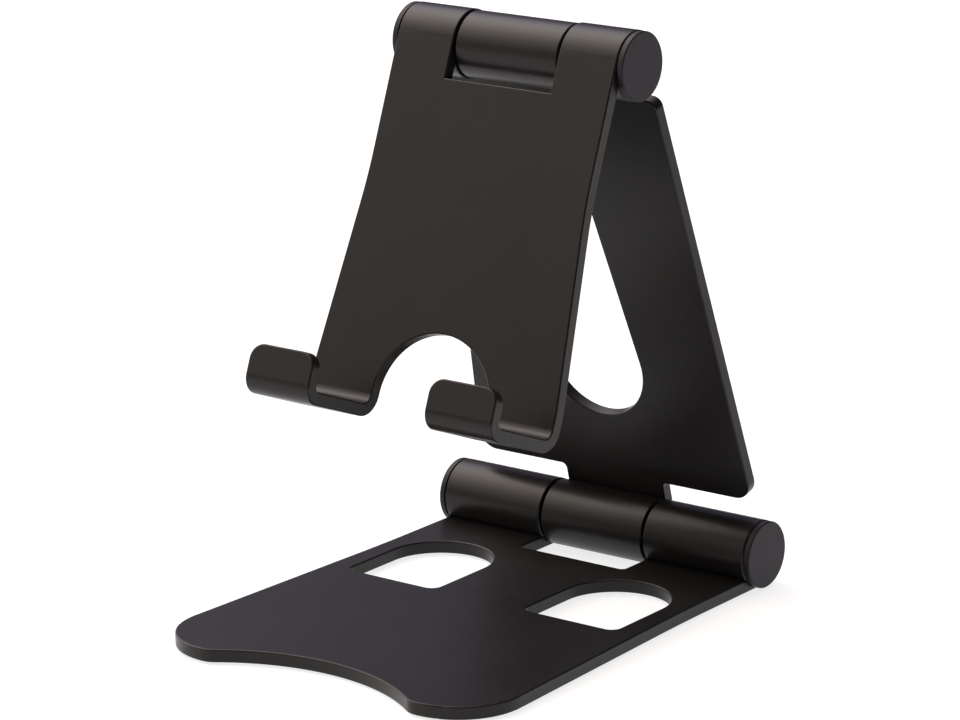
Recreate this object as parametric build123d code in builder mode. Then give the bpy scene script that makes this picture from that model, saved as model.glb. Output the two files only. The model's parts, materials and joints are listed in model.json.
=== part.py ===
from build123d import *
import os
from math import cos, radians, sin

# Folding phone stand of three black anodised aluminium plates. The base lies on the table, the arm
# rises from the base's hinge, and the holder hangs from the arm's upper hinge and carries the phone
# on two hooks. Both hinges are friction hinges: a steel pin squeezes three barrels together.
# Axes: X runs along the hinges, -Y is the user's side, Z is up. The origin is on the table, under
# the middle of the whole object. Outlines are drawn from their own hinge axis, with the rest of the
# plate in front of it (base), above it (arm) or below it (holder). Sizes are in millimetres.

# ---- pose ----------------------------------------------------------------------------------------
arm_lean = 15.6            # degrees, the arm leans forward from upright
holder_tilt = 21.3         # degrees, the foot of the holder stands forward of its hinge
arm_length = 100.9         # from the base hinge to the holder hinge

# ---- plates and barrels --------------------------------------------------------------------------
plate = 2.5                # thickness of all three plates
edge_r = 0.3               # small rounding of every plate edge
foot_drop = 0.45           # the rubber feet lift the base plate by this much

base_barrel_r = 6.5        # two outer barrels on the base
arm_barrel_low_r = 6.45    # middle barrel of the base hinge
arm_barrel_top_r = 6.35    # middle barrel of the holder hinge
holder_barrel_r = 6.55     # two outer barrels on the holder, level with its front face
barrel_gap = 0.5           # space between neighbouring barrels, filled by a friction washer

# ---- base ----------------------------------------------------------------------------------------
base_half = 35.1           # half width at the hinge, also the outer end of the barrels
base_length = 93.8         # from the hinge axis to the front of the lobes
flare_start = 25.3         # the sides run parallel up to here, then flare
flare_half = 37.9          # half width that the flare reaches at the front line
flare_blend_r = 400.0
lobe_r = 12.7              # large outer corners
lobe_inner_x = 22.9        # where the concave front meets the lobes
lobe_inner_r = 4.0
front_middle_y = 86.2      # the concave front starts this far from the axis, in the middle

window_centre_x = 20.65    # two D-shaped windows that the hooks drop into when it folds
window_width = 21.0
window_front_y = 42.9
window_round_y = 27.5      # centre of the round rear end
window_corner_r = 2.0
base_gap_half = 12.25      # slot for the middle barrel
base_gap_front_y = 12.8
base_gap_corner_r = 1.0

# ---- arm -----------------------------------------------------------------------------------------
arm_low_s = 8.6            # from the base hinge to the lower edge of the plate
arm_top_s = 92.1           # and to its upper edge
arm_half_low = 32.0        # half width at the lower edge
arm_half_top = 24.7        # half width at the upper edge
arm_corner_low_r = 3.5
arm_corner_top_r = 2.0
arm_top_offset = 0.65      # the holder hinge lies this much nearer to the plate
neck_half = 11.42
neck_corner_r = 1.0
drop_low_r = 11.05         # drop-shaped window: large round end below, small one above
drop_low_s = 33.1
drop_top_r = 3.6
drop_top_s = 78.9

# ---- holder --------------------------------------------------------------------------------------
holder_half = 24.65
holder_flare_start = 27.45
holder_flare_end = 64.5
holder_flare_blend_r = 120.0
holder_foot_blend_r = 30.0
hook_outer_x = 27.8
hook_inner_x = 13.1        # also the radius of the arch between the hooks
notch_depth = 7.8          # cut-out round the middle barrel
bend_start = 67.3          # below this line the plate turns forward, and the arch is centred on it
bend_inner_r = 2.0         # where the floor of a hook leaves the holder's face
lip_bend_r = 0.9           # inner radius where the lip turns up from the floor
hook_clear = 16.6          # space for the phone, from the front face to the lip
lip_top = 62.65
lip_corner_r = 3.0

# ---- hinge hardware ------------------------------------------------------------------------------
barrel_edge = 0.2          # chamfer on the ends of every barrel
pin_r = 2.0                # M4 cap screw used as the hinge pin
pin_clearance = 0.05
bush_r = 3.5
bush_length = 8.0
pocket_r = 4.6             # pocket at each end, for the head and the nut
pocket_depth_base = 10.0
pocket_depth_holder = 9.6
seat_r = 4.4               # plain washer under the head and under the nut
seat_thickness = 0.5
spring_r = 4.0             # disc spring 8 x 4.2 x 0.4, 0.6 high
spring_bore = 2.1
spring_thickness = 0.4
spring_height = 0.6
spring_count = 4
nut_flats = 7.0
nut_hex_height = 3.0
nut_collar_r = 3.1         # the collar holds the nylon ring that locks the nut
nut_collar_height = 1.2
head_r = 3.5
head_height = 3.0
head_edge = 0.3
socket_flats = 2.5
socket_depth = 1.6
pin_tail = 0.2             # thread standing out of the nut
washer_r = 5.2             # friction washers between the barrels
washer_gap = 0.05          # running gap between a friction washer and the middle barrel
cap_r = 6.45
cap_disc = 1.15
cap_groove = 0.25
cap_groove_r = 5.7
cap_spigot = 1.8
cap_edge = 0.2

# ---- feet ----------------------------------------------------------------------------------------
foot_r = 5.0
foot_thickness = 1.0
foot_spots = {
    "foot_front_left": (-26.0, -82.5),
    "foot_front_right": (26.0, -82.5),
    "foot_rear_left": (-25.0, -9.5),
    "foot_rear_right": (25.0, -9.5),
}

# ---- places worked out from the sizes above --------------------------------------------------------
snap = 0.01                # two places closer than this are the same place
lean = radians(arm_lean)
tilt = radians(holder_tilt)
low_y = (base_length - base_barrel_r) / 2
low_z = foot_drop + base_barrel_r
arm_up = Vector(0, -sin(lean), cos(lean))
arm_front = Vector(0, -cos(lean), -sin(lean))
low_axis = Vector(0, low_y, low_z)
top_axis = low_axis + arm_up * arm_length - arm_front * arm_top_offset
top_y = top_axis.Y
top_z = top_axis.Z
holder_front = Vector(0, -cos(tilt), sin(tilt))

base_plane = Plane(origin=(0, low_y, foot_drop))
arm_plane = Plane(origin=low_axis, x_dir=(1, 0, 0), z_dir=arm_front)
holder_plane = Plane(origin=top_axis, x_dir=(1, 0, 0), z_dir=holder_front)
arm_barrel_low_half = base_gap_half - barrel_gap
arm_barrel_top_half = neck_half
holder_gap_half = neck_half + barrel_gap
arm_plate_back = -arm_barrel_low_r

# each hinge: axis height and depth, half length of the middle barrel, inner and outer end of the
# outer barrels, and how deep the pockets go in from the outer ends
hinges = {
    "base_hinge": (low_y, low_z, arm_barrel_low_half, base_gap_half, base_half, pocket_depth_base),
    "holder_hinge": (top_y, top_z, arm_barrel_top_half, holder_gap_half, holder_half, pocket_depth_holder),
}

os.makedirs("parts", exist_ok=True)


def save(piece, name):
    """Labels a finished piece and writes it to its own file."""
    piece.label = name
    export_step(piece, f"parts/{name}.step")


def along(y, z):
    """The upright plane through a hinge axis; local X runs along the hinge, local Y is up."""
    return Plane(origin=(0, y, z), x_dir=(1, 0, 0), z_dir=(0, -1, 0))


def barrel_profile(start, end, radius):
    """Half section of a barrel from start to end, with its end edges broken."""
    return [
        (start, 0),
        (start, radius - barrel_edge),
        (start + barrel_edge, radius),
        (end - barrel_edge, radius),
        (end, radius - barrel_edge),
        (end, 0),
    ]


def cross(x, y, z):
    """A plane across the hinge at x, centred on an axis; extruding from it goes towards +X."""
    return Plane(origin=(x, y, z), x_dir=(0, 1, 0), z_dir=(1, 0, 0))


def long_rims(edges, root):
    """The long edges of a sheet's two skins, without its corners and the lines where it goes on."""
    return edges.filter_by(lambda edge: min(abs(edge.length - plate), abs(edge.length - root)) > snap)


# ---- base plate ----------------------------------------------------------------------------------
with BuildPart() as base_plate:
    with BuildSketch(base_plane) as base_outline:
        with BuildLine():
            Polyline(
                (lobe_inner_x, -base_length),
                (flare_half, -base_length),
                (base_half, -flare_start),
                (base_half, 0),
                (-base_half, 0),
                (-base_half, -flare_start),
                (-flare_half, -base_length),
                (-lobe_inner_x, -base_length),
            )
            ThreePointArc(
                (-lobe_inner_x, -base_length),
                (0, -front_middle_y),
                (lobe_inner_x, -base_length),
            )
        make_face()
        front = base_outline.vertices().group_by(Axis.Y)[0].sort_by(Axis.X)
        fillet([front[0], front[3]], lobe_r)
        ends = base_outline.vertices().filter_by(lambda v: abs(v.Y + base_length) < snap)
        fillet(ends.filter_by(lambda v: abs(abs(v.X) - lobe_inner_x) < snap), lobe_inner_r)
        fillet(base_outline.vertices().filter_by(lambda v: abs(v.Y + flare_start) < snap), flare_blend_r)
        with Locations((0, -base_gap_front_y / 2)):
            Rectangle(2 * base_gap_half, base_gap_front_y, mode=Mode.SUBTRACT)
        for side in (-1, 1):
            straight = window_front_y - window_round_y
            with Locations((side * window_centre_x, -window_round_y - straight / 2)):
                Rectangle(window_width, straight, mode=Mode.SUBTRACT)
            with Locations((side * window_centre_x, -window_round_y)):
                Circle(window_width / 2, mode=Mode.SUBTRACT)
        corners = base_outline.vertices().filter_by(lambda v: abs(v.Y + window_front_y) < snap)
        fillet(corners, window_corner_r)
        corners = base_outline.vertices().filter_by(lambda v: abs(v.Y + base_gap_front_y) < snap)
        fillet(corners, base_gap_corner_r)
    extrude(amount=plate)
    rims = base_plate.faces().sort_by(Axis.Z)
    fillet(rims[0].edges() + rims[-1].edges(), edge_r)
    with BuildSketch(along(low_y, low_z)):
        Polygon(*barrel_profile(-base_half, -base_gap_half, base_barrel_r), align=None)
        Polygon(*barrel_profile(base_gap_half, base_half, base_barrel_r), align=None)
    revolve(axis=Axis((0, low_y, low_z), (1, 0, 0)))
    with BuildSketch(cross(-base_half, low_y, low_z)):
        Circle(pin_r + pin_clearance)
    extrude(amount=2 * base_half, mode=Mode.SUBTRACT)
    for start in (-base_half, base_half - pocket_depth_base):
        with BuildSketch(cross(start, low_y, low_z)):
            Circle(pocket_r)
        extrude(amount=pocket_depth_base, mode=Mode.SUBTRACT)
    with BuildSketch(base_plane):
        with Locations(*foot_spots.values()):
            Circle(foot_r)
    extrude(amount=foot_thickness - foot_drop, mode=Mode.SUBTRACT)
save(base_plate.part, "base_plate")

for name, spot in foot_spots.items():
    with BuildPart() as foot:
        with BuildSketch(base_plane.offset(-foot_drop)):
            with Locations(spot):
                Circle(foot_r)
        extrude(amount=foot_thickness)
        fillet(foot.edges().sort_by(Axis.Z)[0], edge_r)
    save(foot.part, name)

# ---- arm -----------------------------------------------------------------------------------------
with BuildPart() as arm_plate:
    with BuildSketch(arm_plane.offset(arm_plate_back)) as arm_outline:
        with BuildLine():
            Polyline(
                (-arm_half_low, arm_low_s),
                (arm_half_low, arm_low_s),
                (arm_half_top, arm_top_s),
                (-arm_half_top, arm_top_s),
                close=True,
            )
        make_face()
        levels = arm_outline.vertices().group_by(Axis.Y)
        fillet(levels[0], arm_corner_low_r)
        fillet(arm_outline.vertices().group_by(Axis.Y)[-1], arm_corner_top_r)
        with Locations((0, arm_length / 2)):
            Rectangle(2 * neck_half, arm_length)
        inner = arm_outline.vertices().filter_by(
            lambda v: abs(abs(v.X) - neck_half) < snap and snap < v.Y < arm_length - snap
        )
        fillet(inner, neck_corner_r)
        with BuildSketch(mode=Mode.SUBTRACT):
            with Locations((0, drop_low_s)):
                Circle(drop_low_r)
            with Locations((0, drop_top_s)):
                Circle(drop_top_r)
            make_hull()
    extrude(amount=plate)
    through_arm = Axis((0, 0, 0), tuple(arm_front))
    rims = arm_plate.faces().filter_by(through_arm).sort_by(through_arm)
    fillet(rims[0].edges() + rims[-1].edges(), edge_r)
    with BuildSketch(along(low_y, low_z)):
        Polygon(*barrel_profile(-arm_barrel_low_half, arm_barrel_low_half, arm_barrel_low_r), align=None)
    revolve(axis=Axis((0, low_y, low_z), (1, 0, 0)))
    with BuildSketch(along(top_y, top_z)):
        Polygon(*barrel_profile(-arm_barrel_top_half, arm_barrel_top_half, arm_barrel_top_r), align=None)
    revolve(axis=Axis((0, top_y, top_z), (1, 0, 0)))
    for y, z, half in ((low_y, low_z, arm_barrel_low_half), (top_y, top_z, arm_barrel_top_half)):
        with BuildSketch(cross(-half, y, z)):
            Circle(bush_r)
        extrude(amount=2 * half, mode=Mode.SUBTRACT)
save(arm_plate.part, "arm_plate")

# ---- holder --------------------------------------------------------------------------------------
lip_inner = holder_barrel_r + hook_clear
lip_outer = lip_inner + plate
floor_top = bend_start + bend_inner_r
floor_bottom = floor_top + plate
bend_outer_r = bend_inner_r + plate
near_bend = (-holder_barrel_r - bend_inner_r, -bend_start)
hook_width = hook_outer_x - hook_inner_x
far_bend = (-lip_inner + lip_bend_r, -floor_top + lip_bend_r)
with BuildPart() as hooks:
    for start in (-hook_outer_x, hook_inner_x):
        hook_plane = Plane(
            origin=(start, top_y, top_z),
            x_dir=tuple(-holder_front),
            z_dir=(1, 0, 0),
        )
        with BuildSketch(hook_plane):
            with BuildLine():
                # front of the plate, floor and inner side of the lip
                CenterArc(near_bend, bend_inner_r, 0, -90)
                Line((near_bend[0], -floor_top), (far_bend[0], -floor_top))
                CenterArc(far_bend, lip_bend_r, -90, -90)
                Line((-lip_inner, far_bend[1]), (-lip_inner, -lip_top))
                Line((-lip_inner, -lip_top), (-lip_outer, -lip_top))
                # back along the outside
                Line((-lip_outer, -lip_top), (-lip_outer, far_bend[1]))
                CenterArc(far_bend, lip_bend_r + plate, 180, 90)
                Line((far_bend[0], -floor_bottom), (near_bend[0], -floor_bottom))
                CenterArc(near_bend, bend_outer_r, -90, 90)
                Line((plate - holder_barrel_r, -bend_start), (-holder_barrel_r, -bend_start))
            make_face()
        extrude(amount=hook_width)
    through_lip = Axis(tuple(top_axis), tuple(holder_front))
    lip_corners = hooks.edges().filter_by(through_lip).sort_by(through_lip)[-4:]
    fillet(lip_corners, lip_corner_r)
    fillet(long_rims(hooks.edges(), hook_width), edge_r)

with BuildPart() as holder_plate:
    with BuildSketch(holder_plane.offset(holder_barrel_r - plate)) as holder_outline:
        with BuildLine():
            Polyline(
                (-holder_half, 0),
                (-holder_half, -holder_flare_start),
                (-hook_outer_x, -holder_flare_end),
                (-hook_outer_x, -bend_start),
                (hook_outer_x, -bend_start),
                (hook_outer_x, -holder_flare_end),
                (holder_half, -holder_flare_start),
                (holder_half, 0),
                close=True,
            )
        make_face()
        waist = holder_outline.vertices().filter_by(lambda v: abs(v.Y + holder_flare_start) < snap)
        fillet(waist, holder_flare_blend_r)
        foot_ends = holder_outline.vertices().filter_by(lambda v: abs(v.Y + holder_flare_end) < snap)
        fillet(foot_ends, holder_foot_blend_r)
        with Locations((0, -notch_depth / 2)):
            Rectangle(2 * holder_gap_half, notch_depth, mode=Mode.SUBTRACT)
        with Locations((0, -bend_start)):
            Circle(hook_inner_x, mode=Mode.SUBTRACT)
    extrude(amount=plate)
    fillet(long_rims(holder_plate.edges(), hook_width), edge_r)
    add(hooks.part)
    with BuildSketch(along(top_y, top_z)):
        Polygon(*barrel_profile(-holder_half, -holder_gap_half, holder_barrel_r), align=None)
        Polygon(*barrel_profile(holder_gap_half, holder_half, holder_barrel_r), align=None)
    revolve(axis=Axis((0, top_y, top_z), (1, 0, 0)))
    with BuildSketch(cross(-holder_half, top_y, top_z)):
        Circle(pin_r + pin_clearance)
    extrude(amount=2 * holder_half, mode=Mode.SUBTRACT)
    for start in (-holder_half, holder_half - pocket_depth_holder):
        with BuildSketch(cross(start, top_y, top_z)):
            Circle(pocket_r)
        extrude(amount=pocket_depth_holder, mode=Mode.SUBTRACT)
save(holder_plate.part, "holder_plate")

# ---- hardware of both hinges ---------------------------------------------------------------------
# The screw goes in from the left, its head in the left pocket. In the right pocket the disc springs,
# a plain washer and the lock nut follow one another outwards and keep the barrels pressed together.
for hinge, (y, z, middle_half, inner, outer, depth) in hinges.items():
    pocket_floor = outer - depth
    spring_end = pocket_floor + spring_count * spring_height
    nut_start = spring_end + seat_thickness
    nut_end = nut_start + nut_hex_height + nut_collar_height
    head_inner = -pocket_floor - seat_thickness
    axis = Axis((0, y, z), (1, 0, 0))

    with BuildPart() as pin:
        with BuildSketch(cross(head_inner, y, z)):
            Circle(pin_r)
        extrude(amount=nut_end + pin_tail - head_inner)
        with BuildSketch(cross(head_inner - head_height, y, z)):
            Circle(head_r)
        extrude(amount=head_height)
        chamfer(pin.edges().group_by(Axis.X)[0], head_edge)
        chamfer(pin.edges().group_by(Axis.X)[-1], barrel_edge)
        with BuildSketch(cross(head_inner - head_height, y, z)):
            RegularPolygon(socket_flats / 2, 6, major_radius=False)
        extrude(amount=socket_depth, mode=Mode.SUBTRACT)
    save(pin.part, f"{hinge}_pin")

    with BuildPart() as nut:
        with BuildSketch(cross(nut_start, y, z)):
            RegularPolygon(nut_flats / 2, 6, major_radius=False)
        extrude(amount=nut_hex_height)
        with BuildSketch(cross(nut_start + nut_hex_height, y, z)):
            Circle(nut_collar_r)
        extrude(amount=nut_collar_height)
        chamfer(nut.edges().group_by(Axis.X)[-1], head_edge)
        with BuildSketch(cross(nut_start, y, z)):
            Circle(pin_r)
        extrude(amount=nut_end - nut_start, mode=Mode.SUBTRACT)
    save(nut.part, f"{hinge}_lock_nut")

    with BuildPart() as seat_washers:
        for start in (head_inner, spring_end):
            with BuildSketch(cross(start, y, z)):
                Circle(seat_r)
                Circle(pin_r + pin_clearance, mode=Mode.SUBTRACT)
            extrude(amount=seat_thickness)
    save(seat_washers.part, f"{hinge}_plain_washers")

    springs = []
    for index in range(spring_count):
        near = pocket_floor + index * spring_height
        far = near + spring_height
        if index % 2:
            rim, hole = near, far
        else:
            rim, hole = far, near
        step = spring_thickness if rim < hole else -spring_thickness
        with BuildPart() as spring:
            with BuildSketch(along(y, z)):
                Polygon(
                    (hole, spring_bore),
                    (hole - step, spring_bore),
                    (rim, spring_r),
                    (rim + step, spring_r),
                    align=None,
                )
            revolve(axis=axis)
        springs.append(spring.part)
    save(Compound(springs), f"{hinge}_disc_springs")

    with BuildPart() as bushes:
        for start in (-middle_half, middle_half - bush_length):
            with BuildSketch(cross(start, y, z)):
                Circle(bush_r)
                Circle(pin_r + pin_clearance, mode=Mode.SUBTRACT)
            extrude(amount=bush_length)
    save(bushes.part, f"{hinge}_bushes")

    for side, word in ((-1, "left"), (1, "right")):
        with BuildPart() as friction_washer:
            with BuildSketch(cross(side * inner, y, z)):
                Circle(washer_r)
                Circle(pin_r + pin_clearance, mode=Mode.SUBTRACT)
            extrude(amount=-side * (barrel_gap - washer_gap))
        save(friction_washer.part, f"{hinge}_friction_washer_{word}")

        with BuildPart() as cap:
            groove_end = outer + cap_groove
            disc_end = groove_end + cap_disc
            with BuildSketch(along(y, z)):
                Polygon(
                    (side * (outer - cap_spigot), 0),
                    (side * (outer - cap_spigot), pocket_r - cap_edge),
                    (side * (outer - cap_spigot + cap_edge), pocket_r),
                    (side * outer, pocket_r),
                    (side * outer, cap_groove_r),
                    (side * groove_end, cap_groove_r),
                    (side * groove_end, cap_r),
                    (side * (disc_end - cap_edge), cap_r),
                    (side * disc_end, cap_r - cap_edge),
                    (side * disc_end, 0),
                    align=None,
                )
            revolve(axis=axis)
        save(cap.part, f"{hinge}_end_cap_{word}")
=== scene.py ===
"""Looks of the folding phone stand: three black anodised plates joined by the barrels of two friction
hinges, on a white table in a soft white studio. Everything is in metres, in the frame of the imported
model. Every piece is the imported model's own, so the script adds materials, light and a camera."""

import json
import math

import bpy
from mathutils import Matrix, Vector

MM = 0.001

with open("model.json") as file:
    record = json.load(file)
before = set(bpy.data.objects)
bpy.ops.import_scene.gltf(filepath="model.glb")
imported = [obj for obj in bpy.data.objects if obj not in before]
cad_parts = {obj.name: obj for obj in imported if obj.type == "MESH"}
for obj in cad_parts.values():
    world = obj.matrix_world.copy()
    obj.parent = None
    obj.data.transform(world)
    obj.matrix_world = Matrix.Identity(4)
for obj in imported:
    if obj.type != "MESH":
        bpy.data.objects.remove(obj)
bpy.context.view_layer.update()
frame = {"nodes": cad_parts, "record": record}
nodes = frame["nodes"]


# ---- node helpers --------------------------------------------------------------------------------
class Nodes:
    """Adds nodes to a node tree and links them with few words."""

    def __init__(self, tree):
        self.tree = tree

    def add(self, kind, **settings):
        node = self.tree.nodes.new(kind)
        for key, value in settings.items():
            setattr(node, key, value)
        return node

    def link(self, source, target):
        self.tree.links.new(source, target)

    def remap(self, value, low, high, out_low, out_high, curve="LINEAR"):
        """Value taken from the range low..high to the range out_low..out_high, and kept inside it."""
        node = self.add("ShaderNodeMapRange", clamp=True, interpolation_type=curve)
        node.inputs["From Min"].default_value = low
        node.inputs["From Max"].default_value = high
        node.inputs["To Min"].default_value = out_low
        node.inputs["To Max"].default_value = out_high
        self.link(value, node.inputs["Value"])
        return node.outputs["Result"]

    def math(self, operation, first, second):
        """The operation on two values, each of them a number or a socket."""
        node = self.add("ShaderNodeMath", operation=operation)
        for index, value in enumerate((first, second)):
            if isinstance(value, (int, float)):
                node.inputs[index].default_value = value
            else:
                self.link(value, node.inputs[index])
        return node.outputs[0]

    def blend(self, factor, first, second):
        """A colour between first and second."""
        node = self.add("ShaderNodeMix", data_type="RGBA")
        node.inputs["A"].default_value = (*first, 1)
        node.inputs["B"].default_value = (*second, 1)
        self.link(factor, node.inputs["Factor"])
        return node.outputs["Result"]


# Noise stays near the middle of 0..1, so this part of it is spread over a material's whole range.
NOISE_SPAN = (0.3, 0.7)


class Shader(Nodes):
    """A material being built round its Principled BSDF."""

    def __init__(self, name):
        self.material = bpy.data.materials.new(name)
        self.material.use_nodes = True
        super().__init__(self.material.node_tree)
        self.bsdf = self.tree.nodes["Principled BSDF"]

    def noise(self, size, detail=3.0, roughness=0.55, stretch=(1, 1, 1)):
        """Noise in the object's own coordinates, with features about size metres across."""
        coords = self.add("ShaderNodeTexCoord")
        mapping = self.add("ShaderNodeMapping")
        mapping.inputs["Scale"].default_value = stretch
        self.link(coords.outputs["Object"], mapping.inputs["Vector"])
        node = self.add("ShaderNodeTexNoise")
        node.inputs["Scale"].default_value = 1 / size
        node.inputs["Detail"].default_value = detail
        node.inputs["Roughness"].default_value = roughness
        self.link(mapping.outputs["Vector"], node.inputs["Vector"])
        return node.outputs["Fac"]

    def spread(self, noise, low, high):
        """Noise spread over the range low..high."""
        return self.remap(noise, *NOISE_SPAN, low, high)

    def bump(self, height, distance, under=None):
        node = self.add("ShaderNodeBump")
        node.inputs["Distance"].default_value = distance
        self.link(height, node.inputs["Height"])
        if under is not None:
            self.link(under, node.inputs["Normal"])
        return node.outputs["Normal"]

    def set(self, **values):
        """Fixed values for sockets of the BSDF; an underscore stands for a space."""
        for name, value in values.items():
            self.bsdf.inputs[name.replace("_", " ")].default_value = value

    def surface(self, colour, roughness, normal):
        """Sockets for the colour, the roughness and the normal of the BSDF."""
        self.link(colour, self.bsdf.inputs["Base Color"])
        self.link(roughness, self.bsdf.inputs["Roughness"])
        self.link(normal, self.bsdf.inputs["Normal"])


# ---- materials -----------------------------------------------------------------------------------
def anodised():
    """Bead-blasted black anodised aluminium: a fine even grain under a satin sheen."""
    s = Shader("black_anodised")
    grain = s.noise(0.35 * MM, detail=2.0, roughness=0.6)
    fine = s.noise(0.12 * MM, detail=1.0)
    cloud = s.noise(16 * MM, detail=3.0)
    s.surface(
        colour=s.blend(cloud, (0.0062, 0.0056, 0.0056), (0.0086, 0.0080, 0.0078)),
        roughness=s.math("ADD", s.spread(cloud, 0.30, 0.34), s.spread(grain, -0.03, 0.04)),
        normal=s.bump(fine, 0.006 * MM, under=s.bump(grain, 0.02 * MM)),
    )
    s.set(IOR=1.35)
    return s.material


def cap_plastic():
    """Moulded black plastic of the hinge caps, with a fine matte grain and a violet sheen."""
    s = Shader("cap_plastic")
    grain = s.noise(0.25 * MM, detail=2.0)
    cloud = s.noise(4 * MM)
    s.surface(
        colour=s.blend(cloud, (0.009, 0.0088, 0.0095), (0.012, 0.0118, 0.0128)),
        roughness=s.spread(grain, 0.44, 0.54),
        normal=s.bump(grain, 0.015 * MM),
    )
    s.set(IOR=1.36, Specular_Tint=(0.89, 0.81, 1.0, 1))
    return s.material


def nylon():
    """Dull black nylon of the friction washers and the bushes."""
    s = Shader("nylon")
    grain = s.noise(0.2 * MM)
    s.surface(
        colour=s.blend(grain, (0.006, 0.006, 0.006), (0.011, 0.011, 0.011)),
        roughness=s.spread(grain, 0.55, 0.7),
        normal=s.bump(grain, 0.01 * MM),
    )
    return s.material


def zinc_steel():
    """Zinc plated steel with marks drawn along the screw."""
    s = Shader("hinge_steel")
    drawn = s.noise(0.3 * MM, detail=3.0, stretch=(0.08, 1, 1))
    cloud = s.noise(2 * MM)
    s.surface(
        colour=s.blend(cloud, (0.50, 0.51, 0.54), (0.62, 0.62, 0.62)),
        roughness=s.spread(drawn, 0.25, 0.42),
        normal=s.bump(drawn, 0.01 * MM),
    )
    s.set(Metallic=1.0)
    return s.material


def foot_rubber():
    """Soft black silicone with a leathery grain."""
    s = Shader("foot_rubber")
    grain = s.noise(0.4 * MM, detail=4.0)
    s.surface(
        colour=s.blend(grain, (0.012, 0.012, 0.012), (0.022, 0.022, 0.022)),
        roughness=s.spread(grain, 0.6, 0.8),
        normal=s.bump(grain, 0.03 * MM),
    )
    return s.material


MATERIALS = {
    "black_anodised": anodised(),
    "cap_plastic": cap_plastic(),
    "nylon": nylon(),
    "hinge_steel": zinc_steel(),
    "foot_rubber": foot_rubber(),
}
for part in frame["record"]["subparts"]:
    piece = nodes[part["node"]]
    for slot in piece.material_slots:
        slot.material = MATERIALS[part["material_slot"]]


# ---- table ---------------------------------------------------------------------------------------
TABLE_HALF = 3.0           # so large that its edges are never in view
TABLE_GLOW = 0.79          # a light table, so that it stays white under the object
TABLE_WHITE = (0.26, 0.30)


def table():
    mesh = bpy.data.meshes.new("table_top")
    corners = [(x * TABLE_HALF, y * TABLE_HALF, 0) for x, y in ((-1, -1), (1, -1), (1, 1), (-1, 1))]
    mesh.from_pydata(corners, [], [(0, 1, 2, 3)])
    top = bpy.data.objects.new("table_top", mesh)
    bpy.context.scene.collection.objects.link(top)
    s = Shader("white_table")
    cloud = s.noise(60 * MM)
    low, high = TABLE_WHITE
    s.link(s.blend(cloud, [low] * 3, [high] * 3), s.bsdf.inputs["Base Color"])
    s.link(s.spread(cloud, 0.7, 0.8), s.bsdf.inputs["Roughness"])
    s.set(Emission_Color=(1, 1, 1, 1), Emission_Strength=TABLE_GLOW)
    mesh.materials.append(s.material)


# ---- light ---------------------------------------------------------------------------------------
GLOW_FROM = (-0.577, 0.05, 0.81)
GLOW_FOCUS = 2.75          # power of the cosine of the angle to the middle of the glow
GLOW_FRONT = 3.95          # strength of the glow before the object
GLOW_BACK = 0.49           # and behind it
GLOW_EDGE = (0.15, 0.8)    # the glow goes from front to back between these Y of a direction
ROOM_STRENGTH = 0.04
TINT_FRONT = (1.12, 0.99, 0.89)
TINT_BACK = (0.97, 0.90, 1.24)
TINT_EDGE = (0.15, 0.75)

SOFTBOX_PLACE = (-0.45, 0.15, 0.75)
SOFTBOX_AIM = (0, 0, 0.06)
SOFTBOX_SIZE = 0.75
SOFTBOX_WATTS = 1.2


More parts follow.
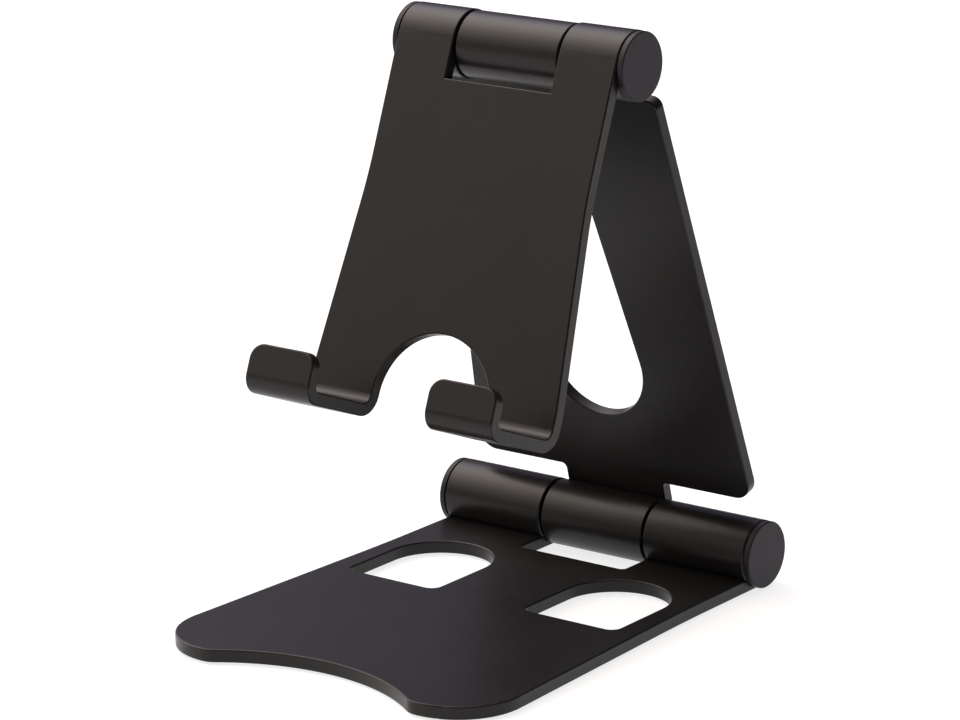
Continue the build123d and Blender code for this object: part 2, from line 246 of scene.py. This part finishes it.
def room():
    """A broad soft glow above the left side, fading to a dim room; warm in front, violet behind."""
    world = bpy.data.worlds.new("studio")
    world.use_nodes = True
    n = Nodes(world.node_tree)
    background = n.tree.nodes["Background"]
    direction = n.add("ShaderNodeTexCoord").outputs["Generated"]
    towards = n.add("ShaderNodeVectorMath", operation="DOT_PRODUCT")
    towards.inputs[1].default_value = Vector(GLOW_FROM).normalized()
    n.link(direction, towards.inputs[0])
    glow = n.math("POWER", n.math("MAXIMUM", towards.outputs["Value"], 0.0), GLOW_FOCUS)
    parts = n.add("ShaderNodeSeparateXYZ")
    n.link(direction, parts.inputs["Vector"])
    fade = n.remap(parts.outputs["Y"], *GLOW_EDGE, GLOW_FRONT, GLOW_BACK, curve="SMOOTHSTEP")
    n.link(n.math("ADD", n.math("MULTIPLY", glow, fade), ROOM_STRENGTH), background.inputs["Strength"])
    depth = n.remap(parts.outputs["Y"], *TINT_EDGE, 0.0, 1.0)
    n.link(n.blend(depth, TINT_FRONT, TINT_BACK), background.inputs["Color"])
    bpy.context.scene.world = world


def softbox():
    """A square soft light above the back left, turned towards the stand."""
    data = bpy.data.lights.new("overhead", "AREA")
    data.shape = "SQUARE"
    data.size = SOFTBOX_SIZE
    data.energy = SOFTBOX_WATTS
    light = bpy.data.objects.new("overhead", data)
    light.location = SOFTBOX_PLACE
    light.rotation_mode = "QUATERNION"
    aim = Vector(SOFTBOX_AIM) - Vector(SOFTBOX_PLACE)
    light.rotation_quaternion = aim.to_track_quat("-Z", "Y")
    bpy.context.scene.collection.objects.link(light)


# ---- camera --------------------------------------------------------------------------------------
AZIMUTH = math.radians(36.83)      # from straight ahead, towards the right side of the object
ELEVATION = math.radians(15.55)
ROLL = math.radians(-0.54)
DISTANCE = 782.2 * MM
AIM = Vector((-3.92, 6.81, 46.95)) * MM     # left of the middle, behind it, a little below half height
LENS = 158.1                       # millimetres
SENSOR = 36.0                      # millimetres, the width
SHIFT = (0.0024, 0.0016)
CLIP = (0.01, 50.0)


def camera():
    back = Vector((
        math.sin(AZIMUTH) * math.cos(ELEVATION),
        -math.cos(AZIMUTH) * math.cos(ELEVATION),
        math.sin(ELEVATION),
    ))
    data = bpy.data.cameras.new("camera")
    data.lens = LENS
    data.sensor_width = SENSOR
    data.shift_x, data.shift_y = SHIFT
    data.clip_start, data.clip_end = CLIP
    eye = bpy.data.objects.new("camera", data)
    turn = (-back).to_track_quat("-Z", "Y").to_matrix().to_4x4()
    eye.matrix_world = Matrix.Translation(AIM + back * DISTANCE) @ turn @ Matrix.Rotation(ROLL, 4, "Z")
    bpy.context.scene.collection.objects.link(eye)
    bpy.context.scene.camera = eye


table()
room()
softbox()
camera()

bpy.context.scene.view_settings.view_transform = "Standard"
